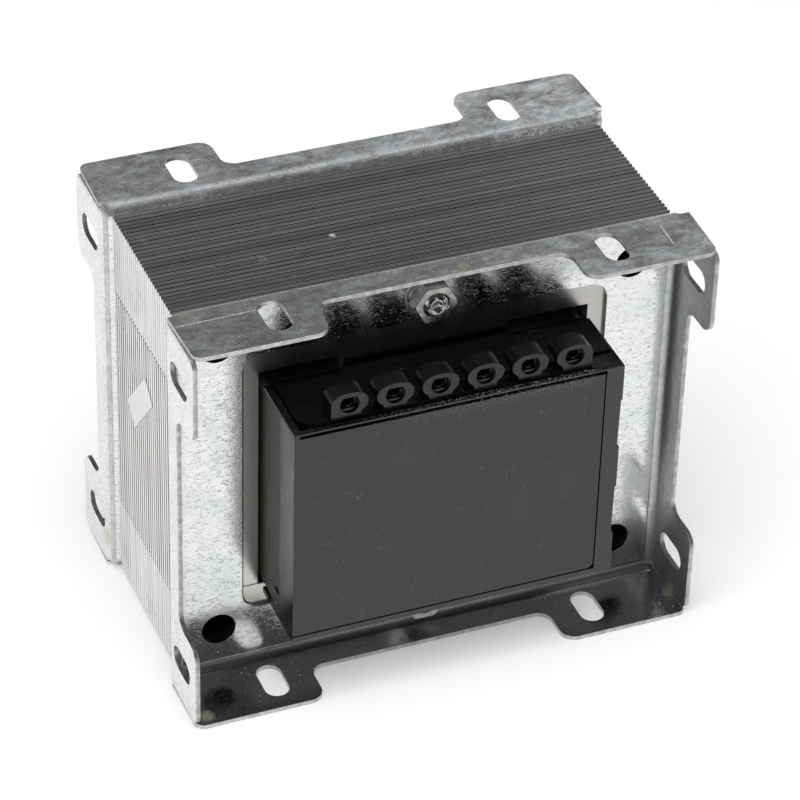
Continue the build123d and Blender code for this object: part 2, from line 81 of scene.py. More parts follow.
# Rings of (radius, depth below the end) for the centre mark in the bolt's end, its end face and its rim
END_RINGS = ((0.05, 0.50), (0.70, 0.42), (1.10, 0.12), (1.35, 0.16), (1.60, 0.02), (1.95, 0.02))
SHANK_STEPS, HEX_STEPS, LOCK_STEPS = 36, 72, 60

# Terminal block: a plate with six oval rings on narrow necks
BLOCK_LEFT, BLOCK_RIGHT, BLOCK_FRONT, BLOCK_REAR, BLOCK_STEP = -33.5, 35.0, -36.3, -19.95, -32.3
BLOCK_LOW, BLOCK_TOP, BLOCK_ROUND = 70.4, 71.9, 4.0
PLATE_FRONT = BLOCK_FRONT + 0.02
TERMINALS = [-23.25 + 9.7 * k for k in range(6)]
TERMINAL_Z, FUNNEL_RADIUS, FUNNEL_DEPTH, SOCKET_DEPTH, SLEEVE = 75.15, 2.1, 0.5, 3.9, 4.4
SOCKET_X, SOCKET_Z, SOCKET_ROUND = 1.35, 0.75, 0.5
RING_HALF_WIDTH, RING_HALF_HEIGHT, RING_Z, RING_POWER, NECK_HALF = 3.94, 2.55, 75.3, 2.25, 2.35
NECK_BOTTOM, RING_STEPS = BLOCK_TOP - 0.3, 60

# Windings: pitch of the wire, and width of one lap of tape
WIRE_PITCH, TAPE_LAP = 0.9, 11.0


# ---------------------------------------------------------------------------
# Materials
# ---------------------------------------------------------------------------
class Paint:
    """One node material. Its patterns are laid out in millimetres of the shared frame."""

    def __init__(self, name, metallic=0.0, roughness=0.5, ior=1.5):
        self.material = bpy.data.materials.new(name)
        self.material.use_nodes = True
        self.tree = self.material.node_tree
        self.shader = self.tree.nodes["Principled BSDF"]
        for key, number in (("Metallic", metallic), ("Roughness", roughness), ("IOR", ior)):
            self.shader.inputs[key].default_value = number
        self.shader.inputs["Base Color"].default_value = (0.5, 0.5, 0.5, 1.0)
        self.place = self.vector("SCALE", self.node("TexCoord").outputs["Object"], scale=1 / MM)

    def node(self, kind, **settings):
        made = self.tree.nodes.new("ShaderNode" + kind)
        for key, value in settings.items():
            setattr(made, key, value)
        return made

    def wire(self, socket, value):
        """A socket takes another node's output, a colour, a vector or a number."""
        if isinstance(value, bpy.types.NodeSocket):
            self.tree.links.new(value, socket)
        elif isinstance(value, tuple) and len(value) == 3 and socket.type == "RGBA":
            socket.default_value = (*value, 1.0)
        else:
            socket.default_value = value

    # Numbers
    def math(self, operation, a, b=0.0, clamp=False):
        made = self.node("Math", operation=operation, use_clamp=clamp)
        self.wire(made.inputs[0], a)
        self.wire(made.inputs[1], b)
        return made.outputs[0]

    def plus(self, a, b, clamp=False):
        return self.math("ADD", a, b, clamp)

    def minus(self, a, b, clamp=False):
        return self.math("SUBTRACT", a, b, clamp)

    def times(self, a, b):
        return self.math("MULTIPLY", a, b)

    def size(self, a):
        return self.math("ABSOLUTE", a)

    def below(self, a, b):
        return self.math("LESS_THAN", a, b)

    def above(self, a, b):
        return self.math("GREATER_THAN", a, b)

    def any_of(self, first, *rest):
        for other in rest:
            first = self.math("MAXIMUM", first, other)
        return first

    def ramp(self, value, low, high, start=0.0, end=1.0):
        """A soft step from start, at low, to end, at high."""
        made = self.node("MapRange", interpolation_type="SMOOTHSTEP")
        self.wire(made.inputs["Value"], value)
        for key, number in (("From Min", low), ("From Max", high), ("To Min", start), ("To Max", end)):
            made.inputs[key].default_value = number
        return made.outputs["Result"]

    def fall(self, value, low, high):
        return self.ramp(value, low, high, 1.0, 0.0)

    # Places and directions
    def vector(self, operation, a, b=(0.0, 0.0, 0.0), scale=1.0):
        made = self.node("VectorMath", operation=operation)
        self.wire(made.inputs[0], a)
        self.wire(made.inputs[1], b)
        if operation == "SCALE":
            made.inputs["Scale"].default_value = scale
        return made.outputs["Value"] if operation in ("LENGTH", "DISTANCE", "DOT_PRODUCT") else made.outputs[0]

    def turned(self, stretch=(1.0, 1.0, 1.0), turn=(0.0, 0.0, 0.0), shift=(0.0, 0.0, 0.0)):
        made = self.node("Mapping")
        self.wire(made.inputs["Vector"], self.place)
        made.inputs["Location"].default_value = shift
        made.inputs["Rotation"].default_value = [math.radians(t) for t in turn]
        made.inputs["Scale"].default_value = stretch
        return made.outputs[0]

    def bent(self, scale, detail, amount, at=None):
        """A place pushed about by a soft noise."""
        push = self.vector("SUBTRACT", self.noise(scale, detail, output="Color"), (0.5, 0.5, 0.5))
        return self.vector("ADD", at or self.place, self.vector("SCALE", push, scale=amount))

    def axis(self, letter, of=None):
        made = self.node("SeparateXYZ")
        self.wire(made.inputs[0], of or self.place)
        return made.outputs["XYZ".index(letter)]

    def from_middle(self):
        """Height above or below the core's middle."""
        return self.size(self.minus(self.axis("Z"), MID_Z))

    def from_corner(self, centre, corner):
        """Seen from the front, the way from the nearest of four corners that mirror each other."""
        across = self.vector("SUBTRACT", self.turned((1.0, 0.0, 1.0)), centre)
        return self.vector("SUBTRACT", self.vector("ABSOLUTE", across), corner)

    def square_to(self, letter, low=0.6):
        """1 where the surface looks along that axis, either way, and 0 where it doesn't."""
        normal = self.node("NewGeometry").outputs["Normal"]
        return self.ramp(self.size(self.axis(letter, of=normal)), low, 0.8)

    # Patterns
    def noise(self, scale, detail=2.0, rough=0.5, at=None, warp=0.0, output="Fac"):
        made = self.node("TexNoise")
        self.wire(made.inputs["Vector"], at or self.place)
        for key, number in (("Scale", scale), ("Detail", detail), ("Roughness", rough), ("Distortion", warp)):
            made.inputs[key].default_value = number
        return made.outputs[output]

    def cells(self, scale, at=None, output="Distance", feature="F1"):
        made = self.node("TexVoronoi", feature=feature)
        self.wire(made.inputs["Vector"], at or self.place)
        made.inputs["Scale"].default_value = scale
        return made.outputs[output]

    def blob(self, centre, radius, edge, rag=1.0):
        """A ragged stain round a point: 1 in the middle, falling to 0 at the radius."""
        return self.fall(self.vector("DISTANCE", self.bent(0.8, 3.0, rag), centre), radius * edge, radius)

    def specks(self, scale, size, keep):
        """Scattered specks: cells of which only a share carries one."""
        chance = self.axis("X", of=self.cells(scale, output="Color"))
        return self.times(self.fall(self.cells(scale), size * 0.5, size), self.ramp(chance, 1.0 - keep, 1.001 - keep))

    def fibres(self, scale, width, keep):
        """Short curved hairs: the borders of warped cells, kept only in patches."""
        line = self.fall(self.cells(scale, at=self.bent(0.5, 2.0, 2.0), feature="DISTANCE_TO_EDGE"), width * 0.4, width)
        patch = self.noise(scale * 1.7, 1.0)
        return self.times(line, self.ramp(patch, 0.62 - keep * 0.3, 0.66 - keep * 0.3))

    def stroke(self, start, end, width):
        """A thin straight mark between two points of the surface."""
        run = Vector(end) - Vector(start)
        offset = self.vector("SUBTRACT", self.bent(0.9, 1.0, width * 1.2), start)
        travel = self.vector("DOT_PRODUCT", offset, tuple(run.normalized()))
        reach = self.vector("LENGTH", offset)
        square = self.minus(self.math("POWER", reach, 2.0), self.math("POWER", travel, 2.0))
        aside = self.math("SQRT", self.any_of(square, 0.0))
        inside = self.times(self.ramp(travel, -0.5, 0.5), self.fall(travel, run.length - 0.5, run.length + 0.5))
        return self.times(self.fall(aside, width * 0.4, width), inside)

    # Colours
    def mix(self, factor, a, b):
        made = self.node("Mix", data_type="RGBA", clamp_factor=True)
        self.wire(made.inputs["Factor"], factor)
        self.wire(made.inputs[6], a)
        self.wire(made.inputs[7], b)
        return made.outputs[2]

    def over(self, base, colour, mask, strength=None):
        """The base with a colour laid over it where the mask is."""
        return self.mix(mask if strength is None else self.times(mask, strength), base, colour)

    # The shader's sockets
    def colour(self, value):
        self.wire(self.shader.inputs["Base Color"], value)

    def rough(self, value):
        self.wire(self.shader.inputs["Roughness"], value)

    def metal(self, value):
        self.wire(self.shader.inputs["Metallic"], value)

    def bump(self, height, strength, depth):
        made = self.node("Bump")
        self.wire(made.inputs["Strength"], strength)
        made.inputs["Distance"].default_value = depth * MM
        self.wire(made.inputs["Height"], height)
        self.wire(self.shader.inputs["Normal"], made.outputs["Normal"])


# Painted shade: near black, for the shade in the core's slots and gaps
GAP_SHADE = (0.02, 0.02, 0.02)


def joint_shadow(p):
    """1 inside the thin slot where an E sheet's legs meet the I sheet, and 0 on the core's outside."""
    level = p.size(p.minus(p.from_middle(), JOINT_Z))
    inside = p.below(p.size(p.axis("Y")), CORE_DEPTH / 2 - 0.1)
    return p.times(p.ramp(level, JOINT_GAP / 2 + 0.02, JOINT_GAP / 2 + 0.08, 0.95, 0.0), inside)


def sheet_edge_paint():
    """Cut edges of the core's sheets: dull steel, a little different from one sheet to the next."""
    p = Paint("sheet_edges", metallic=0.8, roughness=0.4)
    dice = p.node("TexWhiteNoise", noise_dimensions="1D")
    p.wire(dice.inputs["W"], p.math("FLOOR", p.math("DIVIDE", p.axis("Y"), SHEET_PITCH)))
    own = dice.outputs["Value"]
    streak = p.noise(0.35, 3.0, 0.6, at=p.turned((0.22, 6.0, 0.22)))
    cloud = p.noise(0.06, 3.0, 0.55)
    grain = p.noise(5.0, 2.0, 0.6)
    tone = p.plus(p.times(own, 0.3), p.times(streak, 0.7))
    tone = p.ramp(p.plus(tone, p.times(p.minus(grain, 0.5), 0.8)), 0.2, 0.8)
    # Painted light: lighter on the core's sides than on its top, as light falls on them. Also lighter towards its right
    side = p.square_to("X", 0.5)
    low = p.mix(side, (0.43, 0.41, 0.415), (0.76, 0.745, 0.745))
    high = p.mix(side, (0.70, 0.675, 0.68), (0.94, 0.925, 0.925))
    base = p.over(p.mix(tone, low, high), (0.60, 0.55, 0.53), p.ramp(cloud, 0.42, 0.7, 0.0, 0.22))
    base = p.over(base, (0.86, 0.84, 0.84), p.ramp(p.axis("X"), 5.0, 50.0, 0.0, 0.45))
    # Painted shade: dark where the legs end in the slots of the joints
    leg_end_shade = p.times(p.square_to("Z"), p.below(p.from_middle(), JOINT_Z + 1.0))
    base = p.over(base, GAP_SHADE, leg_end_shade, 0.95)
    rusty = p.ramp(p.noise(0.16, 4.0, 0.65, at=p.turned(shift=(7, 3, 1))), 0.60, 0.72)
    base = p.over(base, (0.30, 0.19, 0.13), p.times(rusty, p.ramp(grain, 0.4, 0.62)), 0.5)
    dark = p.any_of(
        p.blob((-30.5, -5.9, CORE_TOP), 1.1, 0.3), p.blob((22.0, 6.0, CORE_TOP), 0.7, 0.3), p.specks(0.12, 0.045, 0.25))
    base = p.over(base, (0.05, 0.045, 0.04), dark, 0.8)
    pale = p.any_of(
        p.specks(0.42, 0.06, 0.3), p.specks(1.3, 0.14, 0.16), p.blob((-14.4, -2.5, CORE_TOP), 0.9, 0.2, 1.4))
    base = p.over(base, (0.95, 0.93, 0.90), pale, 0.75)
    base = p.over(base, (0.80, 0.78, 0.42), p.blob((-51.0, 8.2, CORE_TOP), 1.7, 0.2, 2.2), 0.8)
    # Painted shade: inside the bolt holes the cut edges are painted near black
    hole = p.vector("LENGTH", p.from_corner((0.0, 0.0, MID_Z), (HOLE_X, 0.0, HOLE_Z)))
    base = p.over(base, (0.03, 0.03, 0.03), p.ramp(hole, HOLE_RADIUS, HOLE_RADIUS + 0.2, 0.92, 0.0))
    p.colour(base)
    p.metal(p.minus(0.92, p.times(p.any_of(pale, dark), 0.7), clamp=True))
    p.rough(p.ramp(p.plus(grain, p.times(own, 0.5)), 0.3, 1.1, 0.30, 0.44))
    rolled = p.noise(1.4, 2.0, 0.5, at=p.turned((0.3, 5.0, 0.3)))
    p.bump(p.plus(grain, p.times(rolled, 1.2)), 0.25, 0.05)
    return p.material


def sheet_face_paint():
    """The flat of the outermost sheets, seen through the frame's window: grey-beige annealed steel."""
    p = Paint("sheet_faces", metallic=1.0, roughness=0.3)
    cloud = p.noise(0.10, 4.0, 0.6)
    grain = p.noise(3.0, 3.0, 0.6)
    rolled = p.noise(0.8, 2.0, 0.5, at=p.turned((1.0, 1.0, 0.06)))
    base = p.mix(p.ramp(cloud, 0.3, 0.7), (0.50, 0.485, 0.46), (0.58, 0.565, 0.54))
    base = p.over(base, (0.46, 0.445, 0.42), p.ramp(rolled, 0.3, 0.75, 0.0, 0.4))
    # Painted light and shade: lighter at the left, darker at the right
    light, dark = p.mix(0.6, base, (0.70, 0.68, 0.65)), p.mix(0.5, base, (0.26, 0.25, 0.24))
    base = p.mix(p.ramp(p.axis("X"), -30.0, 30.0, 0.0, 0.7), light, dark)
    base = p.over(base, (0.10, 0.085, 0.07), p.specks(0.25, 0.06, 0.3), 0.7)
    base = p.over(base, GAP_SHADE, joint_shadow(p))
    # Painted shade: a thin dark line where the frame's window lies on the outermost sheet
    corner = (WINDOW_WIDTH / 2 - WINDOW_ROUND, 0.0, WINDOW_HEIGHT / 2 - WINDOW_ROUND)
    past = p.vector("MAXIMUM", p.from_corner((WINDOW_X, 0.0, WINDOW_Z), corner), (0.0, 0.0, 0.0))
    reach = p.minus(p.vector("LENGTH", past), WINDOW_ROUND)
    p.colour(p.over(base, GAP_SHADE, p.ramp(reach, -0.42, -0.15, 0.0, 0.9)))
    p.rough(p.ramp(grain, 0.3, 0.7, 0.22, 0.27))
    p.bump(rolled, 0.03, 0.01)
    return p.material


def zinc_marks(p):
    """Short dark dashes and thin wavy creases in the zinc."""
    wavy = p.bent(0.6, 3.0, 1.1, at=p.turned((0.42, 1.0, 1.5), (0.0, -20.0, 0.0)))
    dash = p.times(
        p.fall(p.cells(1.3, at=wavy), 0.12, 0.26),
        p.ramp(p.noise(0.55, 2.0, 0.5, at=p.turned(shift=(3, 9, 2))), 0.40, 0.54),
    )
    wave = p.noise(0.8, 2.0, 0.55, at=p.turned((0.45, 1.0, 1.3), (0.0, -12.0, 0.0)), warp=0.8)
    crease = p.times(
        p.fall(p.size(p.minus(wave, 0.5)), 0.004, 0.026),
        p.ramp(p.noise(1.1, 2.0, 0.5, at=p.turned(shift=(5, 1, 8))), 0.43, 0.53),
    )
    return p.any_of(dash, p.times(crease, 0.9))


def frame_regions(p):
    """Masks for the regions of a frame that differ from its plain zinc, among them those for painted shade."""
    x, y, z, height = p.size(p.axis("X")), p.size(p.axis("Y")), p.axis("Z"), p.from_middle()
    upper = p.ramp(z, FRAME_TOP - 3.2, FRAME_TOP - 1.4)
    # Insides of the side flanges, from the bend on, and the darkest strip of that bend: masks for painted shade
    inner = p.times(p.ramp(x, INSIDE_X - 3.5, INSIDE_X - 0.8), p.below(x, INSIDE_X + 0.6))
    inner = p.times(inner, p.times(p.below(height, INSIDE_Z - 0.5), p.above(y, PLATE_FACE - 0.45)))
    strip = p.times(p.ramp(x, INSIDE_X - 2.1, INSIDE_X - 1.2), p.ramp(x, INSIDE_X - 0.5, INSIDE_X + 0.3, 1.0, 0.35))
    # Inside of the lower bend: a mask for painted shade
    fold = p.times(p.above(z, FRAME_SHEET + 0.03), p.fall(z, FRAME_SHEET + 1.3, FRAME_SHEET + 2.4))
    fold = p.times(fold, p.times(p.below(x, INSIDE_X - 0.5), p.below(y, PLATE_FACE + 1.55)))
    # The sheet's cut edges, at the flanges' rims
    cut = p.any_of(
        p.times(p.square_to("Y"), p.ramp(y, PLATE_FACE + 2.05, PLATE_FACE + 2.25)),
        p.times(p.square_to("X"), p.ramp(height, INSIDE_Z - 0.05, INSIDE_Z + 0.05)),
        p.times(p.square_to("Z"), p.ramp(x, INSIDE_X - 0.05, INSIDE_X + 0.05)),
    )
    seam = p.fall(p.plus(y, p.times(p.noise(0.35, 3.0, 0.6), 2.4)), PLATE_FACE + 0.55, PLATE_FACE + 1.25)
    return {
        "upper": upper,
        "under": p.times(p.square_to("Z"), p.math("COMPARE", z, FRAME_TOP - FRAME_SHEET)),
        "seam": p.times(seam, upper),
        "inner": inner,
        "bend": p.times(inner, strip),
        "fold": fold,
        "shade": p.times(p.square_to("Y"), p.times(p.ramp(z, 80.0, 86.0), p.fall(x, 24.0, 40.0))),
        "cut": cut,
    }


def galvanised_paint(name, haze, stains, scratches):
    """Zinc-coated sheet: bright, finely hammered, with short dark dashes, wavy creases and pale specks, some of them
    painted glints.

    The upper flange carries a thin grey haze, which scatters light where the bare zinc mirrors it.
    Stains are (centre, radius, colour, strength) and scratches (start, end, width)."""
    p = Paint(name, metallic=1.0, roughness=0.2)
    region = frame_regions(p)
    upper = region["upper"]
    patches = p.noise(0.10, 4.0, 0.62, warp=0.5)
    mottle = p.noise(0.75, 4.0, 0.68)
    fine = p.noise(3.4, 3.0, 0.68)
    base = p.mix(p.ramp(patches, 0.40, 0.68), (0.80, 0.81, 0.815), (0.71, 0.73, 0.74))
    base = p.over(base, (0.58, 0.60, 0.61), p.ramp(mottle, 0.45, 0.66, 0.0, 0.30))
    dash = zinc_marks(p)
    base = p.over(base, (0.28, 0.285, 0.29), dash, 0.8)
    # Haze on the upper flange, in veils and clouds, more of it towards the right
    veil = p.noise(0.16, 5.0, 0.7, at=p.turned((0.7, 1.2, 1.0), shift=(2, 5, 0)), warp=1.0)
    cloud = p.noise(0.30, 5.0, 0.75, at=p.turned((0.8, 1.3, 1.0), shift=(9, 2, 4)), warp=0.6)
    cloud = p.ramp(cloud, 0.46, 0.56)
    hazy = p.times(p.ramp(veil, 0.30, 0.72, haze * 0.5, haze * 1.6), p.ramp(cloud, 0.0, 1.0, 0.7, 1.2))
    hazy = p.times(p.times(upper, hazy), p.ramp(p.axis("X"), -30.0, 50.0, 0.95, 1.7))
    base = p.over(base, (0.54, 0.59, 0.61), p.times(upper, p.ramp(veil, 0.45, 0.62, 0.0, 0.4)))
    base = p.over(base, (0.40, 0.44, 0.47), p.times(upper, p.times(cloud, 0.35)))
    # Pale specks, partly real and partly painted glints of the zinc
    pale_specks_and_glints = p.any_of(
        p.specks(0.8, 0.12, 0.3), p.specks(1.5, 0.13, 0.30), p.times(p.specks(1.7, 0.15, 0.7), p.times(upper, 0.7)))
    base = p.over(base, (0.96, 0.97, 0.96), pale_specks_and_glints, 0.8)
    # Painted shade: the underside of the upper flange is darker
    base = p.over(base, (0.22, 0.23, 0.23), region["under"], 0.6)
    dirt = p.specks(0.16, 0.05, 0.35)
    base = p.over(base, (0.07, 0.07, 0.065), dirt, 0.8)
    # Grime where the upper flange's bend meets the core
    grime = p.times(region["seam"], p.ramp(p.noise(2.2, 4.0, 0.75), 0.40, 0.56))
    base = p.over(base, (0.11, 0.11, 0.105), grime, 0.85)
    # The side flanges are duller inside, with painted shade there; painted shade also darkens the darkest strip of
    # their bend, the lower bend, and the plate under the upper flange
    grey = p.mix(p.ramp(mottle, 0.38, 0.62), (0.30, 0.31, 0.32), (0.66, 0.67, 0.67))
    base = p.over(base, grey, region["inner"], 0.45)
    base = p.over(base, (0.12, 0.125, 0.13), region["bend"], 0.32)
    base = p.over(base, (0.10, 0.105, 0.11), region["fold"], 0.7)
    base = p.over(base, (0.20, 0.205, 0.21), p.times(region["shade"], p.ramp(mottle, 0.3, 0.6, 0.4, 0.7)))
    base = p.over(base, p.mix(p.ramp(mottle, 0.35, 0.65), (0.40, 0.40, 0.395), (0.62, 0.62, 0.61)), region["cut"])
    spots = []
    for centre, radius, tint, strength in stains:
        spots.append(p.times(p.blob(centre, radius, 0.3, radius * 0.7), strength))
        base = p.over(base, tint, spots[-1])
    worn = p.ramp(fine, 0.35, 0.6, 0.3, 0.9)
    scratched = p.any_of(*(p.times(p.stroke(*scratch), worn) for scratch in scratches))
    p.colour(p.over(base, (0.97, 0.97, 0.96), scratched))
    soiled = p.times(p.any_of(dirt, grime, *spots), 0.5)
    dull = p.any_of(soiled, p.times(p.any_of(pale_specks_and_glints, scratched), 0.8), hazy, p.times(region["under"], 0.4))
    p.metal(p.minus(1.0, dull, clamp=True))
    rough = p.plus(p.ramp(patches, 0.35, 0.7, 0.10, 0.16), p.times(fine, 0.06))
    rougher = p.plus(p.times(region["cut"], 0.22), p.times(p.any_of(region["inner"], region["fold"]), 0.26))
    p.rough(p.plus(p.plus(rough, rougher), p.times(dull, 0.35), clamp=True))
    relief = p.minus(p.plus(p.times(mottle, 1.6), p.times(fine, 0.7)), p.times(dash, 0.9))
    p.bump(relief, p.ramp(upper, 0.0, 1.0, 0.22, 0.30), 0.06)
    return p.material


def fastener_paint():
    """Zinc-plated bolt steel, finely turned, a little dull in patches."""
    p = Paint("fastener_zinc", metallic=1.0, roughness=0.3)
    cloud = p.noise(0.5, 3.0, 0.6)
    fine = p.noise(7.0, 2.0, 0.6)
    base = p.mix(p.ramp(cloud, 0.35, 0.7), (0.50, 0.495, 0.475), (0.33, 0.325, 0.31))
    p.colour(p.over(base, (0.16, 0.14, 0.12), p.specks(1.2, 0.14, 0.22), 0.7))
    p.rough(p.ramp(p.plus(cloud, fine), 0.6, 1.4, 0.14, 0.30))
    p.bump(fine, 0.15, 0.03)
    return p.material


def plastic_paint(name, colour, sheen, ior=1.62, smudges=(), top_dust=None):
    """Moulded plastic with a fine moulded skin, handling marks, dust specks and a few hairs.

    Smudges are (centre, radius), and top_dust gives the heights between which dust gathers."""
    p = Paint(name, roughness=sheen, ior=ior)
    skin = p.noise(9.0, 2.0, 0.6)
    cloud = p.noise(0.09, 3.0, 0.6)
    base = p.mix(p.ramp(cloud, 0.35, 0.7), colour, tuple(c * 1.45 for c in colour))
    specks = p.any_of(p.specks(0.20, 0.030, 0.35), p.specks(0.6, 0.05, 0.10))
    mark = p.any_of(p.times(specks, 0.4), p.times(p.fibres(0.16, 0.010, 0.05), 0.12))
    if top_dust:
        band = p.times(p.ramp(p.axis("Z"), *top_dust), p.ramp(p.noise(3.2, 3.0, 0.8), 0.565, 0.625))
        across = p.times(p.ramp(p.axis("X"), -24.0, 12.0, 0.12, 1.0), p.ramp(p.axis("X"), 28.0, 30.5, 1.0, 0.12))
        mark = p.any_of(mark, p.times(p.times(band, across), 0.65))
    for centre, radius in smudges:
        mark = p.any_of(mark, p.times(p.blob(centre, radius, 0.1, radius * 1.3), 0.015))
    p.colour(p.over(base, (0.62, 0.60, 0.56), mark))
    wiped = p.noise(0.14, 3.0, 0.6, at=p.turned((1.0, 1.0, 0.35), (0.0, 25.0, 0.0)))
    p.rough(p.plus(p.ramp(wiped, 0.35, 0.7, sheen - 0.04, sheen + 0.06), p.times(mark, 0.35), clamp=True))
    p.bump(p.plus(skin, p.times(mark, 1.5)), 0.08, 0.03)
    return p.material


def board_paint():
    """Olive-grey pressed insulating board with fine fibres and pale dust specks."""
    p = Paint("insulating_board", roughness=0.55, ior=1.5)
    fibre = p.noise(1.1, 4.0, 0.7, at=p.turned((1.0, 1.0, 0.25)))
    cloud = p.noise(0.07, 3.0, 0.6)
    base = p.mix(p.ramp(fibre, 0.3, 0.7), (0.066, 0.065, 0.057), (0.096, 0.094, 0.082))
    base = p.over(base, (0.056, 0.057, 0.052), p.ramp(cloud, 0.4, 0.7, 0.0, 0.4))
    p.colour(p.over(base, (0.45, 0.43, 0.38), p.specks(0.5, 0.07, 0.25), 0.6))
    p.rough(p.ramp(fibre, 0.3, 0.7, 0.45, 0.65))
    p.bump(fibre, 0.25, 0.06)
    return p.material


def copper_paint():
    """Enamelled wire laid in turns round the bobbin."""
    p = Paint("enamelled_copper", metallic=0.9, roughness=0.28)
    wire = p.math("SINE", p.times(p.axis("Z"), 2 * math.pi / WIRE_PITCH))
    drift = p.noise(0.3, 2.0, 0.5)
    base = p.mix(p.ramp(drift, 0.35, 0.7), (0.58, 0.22, 0.09), (0.72, 0.32, 0.14))
    # Painted shade in the grooves between the turns of wire
    p.colour(p.over(base, (0.12, 0.04, 0.02), p.ramp(wire, -1.0, -0.4, 0.7, 0.0)))
    p.rough(p.ramp(drift, 0.3, 0.7, 0.22, 0.34))
    p.bump(wire, 0.6, 0.25)
    return p.material


def tape_paint():
    """Amber insulating tape, wound in overlapping bands."""
    p = Paint("insulating_tape", roughness=0.35, ior=1.5)
    lap = p.math("FRACT", p.times(p.axis("Z"), 1 / TAPE_LAP))
    crease = p.noise(0.4, 3.0, 0.6)
    base = p.mix(p.ramp(crease, 0.3, 0.7), (0.52, 0.36, 0.10), (0.66, 0.49, 0.17))
    p.colour(p.over(base, (0.30, 0.19, 0.05), p.ramp(lap, 0.0, 0.06, 0.6, 0.0)))
    p.rough(p.ramp(crease, 0.3, 0.7, 0.28, 0.45))
    p.bump(p.plus(crease, p.ramp(lap, 0.0, 0.05)), 0.3, 0.08)
    return p.material


def contact_paint():
    """Tinned contact metal, painted dark for the shade deep in the sockets, with bite marks and dull spots."""
    p = Paint("tinned_contact", metallic=1.0, roughness=0.35)
    cloud = p.noise(0.9, 3.0, 0.6)
    fine = p.noise(5.0, 2.0, 0.5)
    p.colour(p.mix(p.ramp(cloud, 0.3, 0.7), (0.13, 0.125, 0.11), (0.07, 0.066, 0.06)))
    p.rough(p.ramp(fine, 0.3, 0.7, 0.28, 0.46))
    p.bump(fine, 0.2, 0.03)
    return p.material


def label_paint():
    """Bare white paper, very slightly creased and dusty in patches."""
    p = Paint("label_paper", roughness=0.55, ior=1.45)
    pulp = p.noise(2.4, 4.0, 0.7)
    soil = p.noise(0.35, 3.0, 0.6)
    base = p.mix(p.ramp(pulp, 0.3, 0.7), (0.93, 0.93, 0.92), (0.97, 0.97, 0.96))
    p.colour(p.over(base, (0.78, 0.78, 0.76), p.ramp(soil, 0.55, 0.75, 0.0, 0.25)))
    p.rough(p.ramp(pulp, 0.3, 0.7, 0.48, 0.62))
    p.bump(pulp, 0.2, 0.04)
    return p.material


# ---------------------------------------------------------------------------
# Helpers for pieces
# ---------------------------------------------------------------------------
def piece(name, verts, faces, materials, indices=None, smooth_angle=None, replaces=()):
    """A mesh object in the shared frame, from points in millimetres."""
    mesh = bpy.data.meshes.new(name)
    mesh.from_pydata([Vector(v) * MM for v in verts], [], faces)
    work = bmesh.new()
    work.from_mesh(mesh)
    if indices:
        work.faces.ensure_lookup_table()
        for face, index in zip(work.faces, indices):
            face.material_index = index
    bmesh.ops.recalc_face_normals(work, faces=work.faces)
    work.to_mesh(mesh)
    work.free()
    made = bpy.data.objects.new(name, mesh)
    bpy.context.collection.objects.link(made)
    for material in materials:
        mesh.materials.append(material)
    if smooth_angle:
        mesh.polygons.foreach_set("use_smooth", [True] * len(mesh.polygons))
        mesh.set_sharp_from_angle(angle=math.radians(smooth_angle))
    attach(made, "root")
    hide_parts(*replaces)
    return made


def soften(body, bevel, segments=2, angle=40):
    """A fine round on the body's sharp rims."""
    weld = body.modifiers.new("join", "WELD")
    weld.merge_threshold = 0.002 * MM
    round_off = body.modifiers.new("rims", "BEVEL")
    round_off.width = bevel * MM
    round_off.segments = segments
    round_off.limit_method = "ANGLE"
    round_off.angle_limit = math.radians(angle)
    round_off.use_clamp_overlap = True
    round_off.harden_normals = True


def dress(name, material, bevel, segments=2, angle=40):
    """A CAD node keeps its shape, and gets its material and a fine round on its sharp rims."""
    body = nodes[name]
    body.data.materials.clear()
    body.data.materials.append(material)
    soften(body, bevel, segments, angle)


def circle(x, z, radius, steps):
    turns = [2 * math.pi * k / steps for k in range(steps)]
    return [(x + radius * math.cos(angle), z + radius * math.sin(angle)) for angle in turns]


def polar(radius, angle, y, middle):
    """A point round an axis that runs along Y at the middle's height."""
    return radius * math.cos(angle), y, middle + radius * math.sin(angle)


def stitch(faces, first, rings, steps, closed=False):
    """Walls between rings of points, and from the last ring back to the first if closed."""
    for row in range(rings if closed else rings - 1):
        a, b = first + row * steps, first + ((row + 1) % rings) * steps
        for k in range(steps):
            n = (k + 1) % steps
            faces.append((a + k, a + n, b + n, b + k))


# ---------------------------------------------------------------------------
# Core: the sheets, turned over one by one
# ---------------------------------------------------------------------------
def add_plate(verts, faces, indices, outline, holes, y0, y1):
    """One flat sheet between y0 and y1: its two flats have index 1 and its cut edges index 0."""
    loops = [outline] + holes
    points = [p for loop in loops for p in loop]
    first, count = len(verts), len(points)
    for y in (y0, y1):
        verts.extend((x, y, z) for x, z in points)
    for a, b, c in tessellate_polygon([[Vector((x, z, 0.0)) for x, z in loop] for loop in loops]):
        faces.append((first + a, first + b, first + c))
        faces.append((first + count + c, first + count + b, first + count + a))
        indices.extend((1, 1))
    start = first
    for loop in loops:
        size = len(loop)
        for k in range(size):
            n = (k + 1) % size
            faces.append((start + k, start + n, start + count + n, start + count + k))
            indices.append(0)
        start += size


def sheet_outline(kind, left, right, end, gap):
    """An E sheet with its back at the top, or the I sheet below it, as heights from the core's middle."""
    half_h = CORE_HEIGHT / 2
    if kind == "i":
        low, joint = -half_h + end, -half_h + YOKE - gap / 2
        return [(left, joint), (left, low + CORNER_CUT), (left + CORNER_CUT, low),
                (right - CORNER_CUT, low), (right, low + CORNER_CUT), (right, joint)]
    top, joint, inner = half_h - end, -half_h + YOKE + gap / 2, half_h - YOKE
    leg, far = LEG / 2, LEG / 2 + WINDOW
    return [(left, top), (left, joint), (-far, joint), (-far, inner), (-leg, inner), (-leg, joint),
            (leg, joint), (leg, inner), (far, inner), (far, joint), (right, joint), (right, top)]


